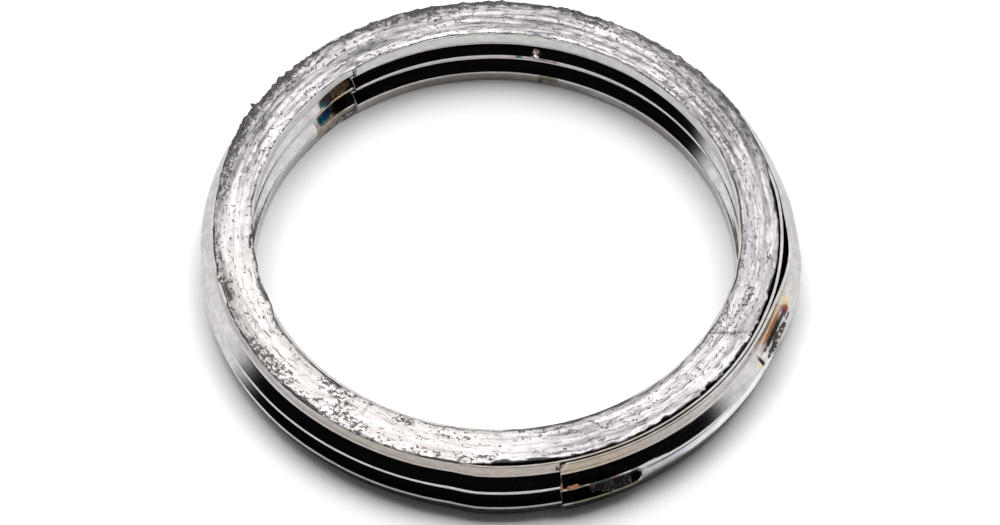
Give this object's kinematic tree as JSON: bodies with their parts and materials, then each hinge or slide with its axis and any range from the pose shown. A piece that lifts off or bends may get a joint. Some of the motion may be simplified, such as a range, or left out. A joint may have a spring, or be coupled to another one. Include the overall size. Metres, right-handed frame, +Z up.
{
  "type": "exhaust gasket",
  "caption": "Spiral-wound ring gasket for an exhaust joint: a ridged steel strip wound with graphite tape, spot welded and heat tinted.",
  "frame": {"origin": "on the bore's axis, at the underside that the gasket rests on", "axes": "+Z up along the bore's axis, +X to the right and +Y away from the viewer of the picture"},
  "size_m": [0.0419, 0.0419, 0.0055],
  "materials": {
    "steel": "bright rolled stainless strip, polished, with heat tint round the spot welds",
    "graphite": "pressed graphite face, silvery and smeared in rings, with dark pits and ragged edges"
  },
  "bodies": {
    "root": {"steel_winding": "steel", "graphite_filler": "graphite"}
  },
  "joints": []
}
